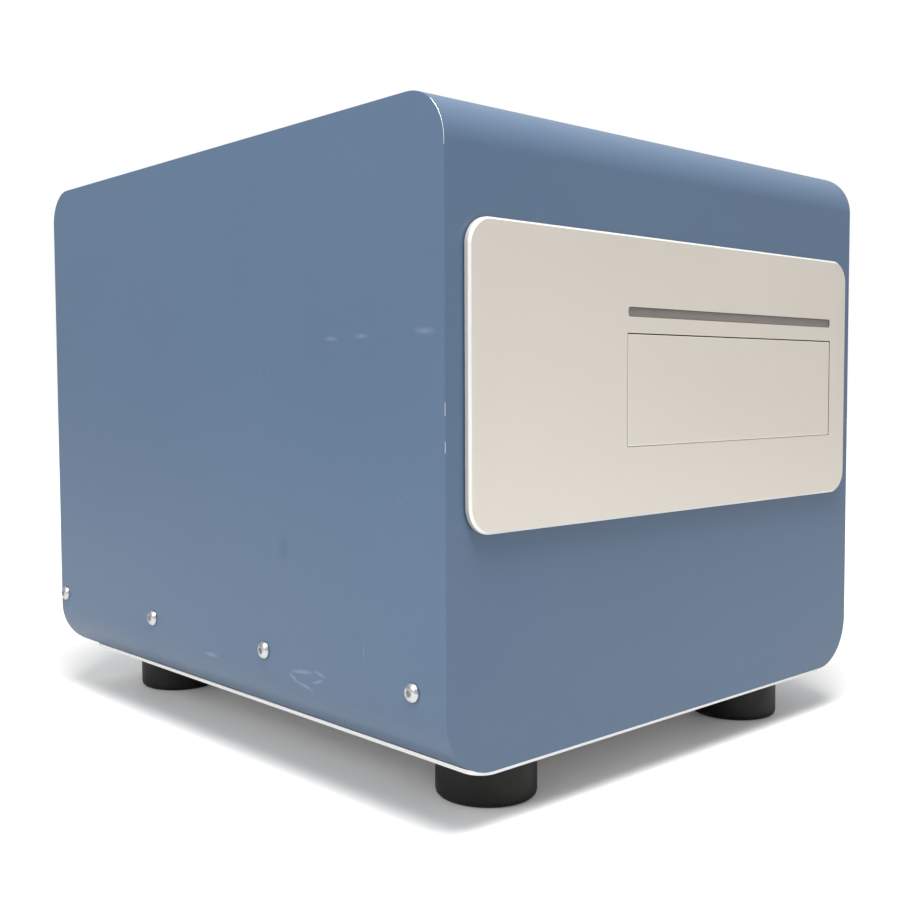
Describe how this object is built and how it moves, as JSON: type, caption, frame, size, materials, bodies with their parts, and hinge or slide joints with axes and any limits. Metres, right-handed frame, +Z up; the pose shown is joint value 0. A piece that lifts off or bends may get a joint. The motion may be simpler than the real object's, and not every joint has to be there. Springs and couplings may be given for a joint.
{
  "type": "automated cell counter",
  "caption": "Bench-top automated cell counter: a rounded sheet case on rubber feet, with a front plate, a drop-down flap, a motorised plate tray and a scanning microscope inside.",
  "frame": {"origin": "under the middle of the case, on the surface that the feet stand on", "axes": "+X to the right seen from the front, +Y to the rear with the front plate at -Y, +Z up"},
  "size_m": [0.3482, 0.388, 0.3304],
  "materials": {
    "hood_paint": "semi-gloss blue-grey powder coat",
    "front_anodised": "fine satin champagne-silver anodised",
    "bare_aluminium": "natural brushed",
    "machined_aluminium": "clear anodised",
    "black_anodised": "matt black anodised",
    "zinc_sheet": "zinc-plated sheet",
    "screw_steel": "stainless",
    "ground_steel": "ground",
    "spring_steel": "bright drawn",
    "foot_rubber": "matt moulded black rubber",
    "gasket_rubber": "black foam strip",
    "light_pipe": "frosted grey acrylic, unlit",
    "black_plastic": "moulded black",
    "rocker_plastic": "gloss black",
    "nut_plastic": "acetal",
    "motor_black": "black lacquer and bare end caps",
    "diffuser": "opal",
    "filter_glass": "coated glass",
    "satin_chrome": "satin chrome",
    "brass": "turned",
    "board_green": "solder mask"
  },
  "bodies": {
    "root": {"hood": "hood_paint", "base_plate": "bare_aluminium", "chassis_pan": "zinc_sheet", "rear_panel": "hood_paint", "hood_screws": "screw_steel", "feet": "foot_rubber", "foot_screws": "screw_steel", "front_plate": "front_anodised", "front_plate_gasket": "gasket_rubber", "door_hinge_pin": "ground_steel", "door_hinge_brackets": "zinc_sheet", "status_light_pipe": "light_pipe", "status_led_board": "board_green", "fan_frame": "black_plastic", "fan_guard": "screw_steel", "fan_screws": "screw_steel", "power_inlet": "black_plastic", "switch_bezel": "black_plastic", "usb_port": "zinc_sheet", "stage_deck": "machined_aluminium", "deck_posts": "machined_aluminium", "y_rails": "ground_steel", "y_screw_bearing": "machined_aluminium", "y_motor": "motor_black", "y_motor_mount": "zinc_sheet", "light_panel_bracket": "zinc_sheet", "light_panel": "diffuser", "optics_base": "machined_aluminium", "x_rails": "ground_steel", "x_screw_bearing": "machined_aluminium", "x_motor_mount": "zinc_sheet", "x_motor": "motor_black", "board_standoffs": "brass", "main_board": "board_green", "power_supply": "zinc_sheet"},
    "door": {"door_flap": "front_anodised", "door_spring": "spring_steel"},
    "tray": {"plate_tray": "black_anodised", "plate_clip": "spring_steel", "y_carriages": "black_anodised", "y_drive_nut": "nut_plastic"},
    "tray_screw": {"y_lead_screw": "ground_steel", "y_coupler": "machined_aluminium", "y_motor_shaft": "ground_steel"},
    "optics": {"optics_carriage": "black_anodised", "x_carriages": "black_anodised", "x_drive_nut": "nut_plastic", "camera_body": "black_anodised", "camera_lens": "black_anodised", "filter_cube": "black_anodised", "led_module": "machined_aluminium", "focus_column": "machined_aluminium"},
    "scan_screw": {"x_lead_screw": "ground_steel"},
    "focus": {"focus_slide": "black_anodised", "objective": "satin_chrome"},
    "filter_wheel": {"filter_wheel": "black_anodised", "filter_glasses": "filter_glass"},
    "fan": {"fan_rotor": "black_plastic"},
    "rocker": {"switch_rocker": "rocker_plastic"}
  },
  "joints": [
    {"name": "tray_slide", "type": "slide", "parent": "root", "child": "tray", "axis": [0, -1, 0], "range_m": [0, 0.24]},
    {"name": "door_hinge", "type": "hinge", "parent": "root", "child": "door", "pos_m": [0.045, -0.1893, 0.1774], "axis": [1, 0, 0], "range_deg": [0, 95.5]},
    {"name": "tray_screw_spin", "type": "hinge", "parent": "root", "child": "tray_screw", "pos_m": [-0.058, 0, 0.207], "axis": [0, 1, 0], "range_deg": [-60, 9120]},
    {"name": "scan_slide", "type": "slide", "parent": "root", "child": "optics", "axis": [1, 0, 0], "range_m": [-0.045, 0.045]},
    {"name": "scan_screw_spin", "type": "hinge", "parent": "root", "child": "scan_screw", "pos_m": [0, -0.0141, 0.0464], "axis": [1, 0, 0], "range_deg": [-1710, 1710]},
    {"name": "focus_slide", "type": "slide", "parent": "optics", "child": "focus", "axis": [0, 0, 1], "range_m": [-0.005, 0.005]},
    {"name": "filter_wheel_spin", "type": "hinge", "parent": "optics", "child": "filter_wheel", "pos_m": [0.019, -0.0141, 0.1104], "axis": [0, 0, 1], "continuous": true},
    {"name": "fan_spin", "type": "hinge", "parent": "root", "child": "fan", "pos_m": [-0.12, 0.178, 0.2514], "axis": [0, 1, 0], "continuous": true},
    {"name": "power_rocker", "type": "hinge", "parent": "root", "child": "rocker", "pos_m": [-0.062, 0.185, 0.0774], "axis": [-1, 0, 0], "range_deg": [0, 20]}
  ],
  "couplings": [
    {"joint": "door_hinge", "follows": "tray_slide", "rad_per_m": 6.9086},
    {"joint": "tray_screw_spin", "follows": "tray_slide", "rad_per_m": 628.32},
    {"joint": "scan_screw_spin", "follows": "scan_slide", "rad_per_m": 628.32}
  ]
}
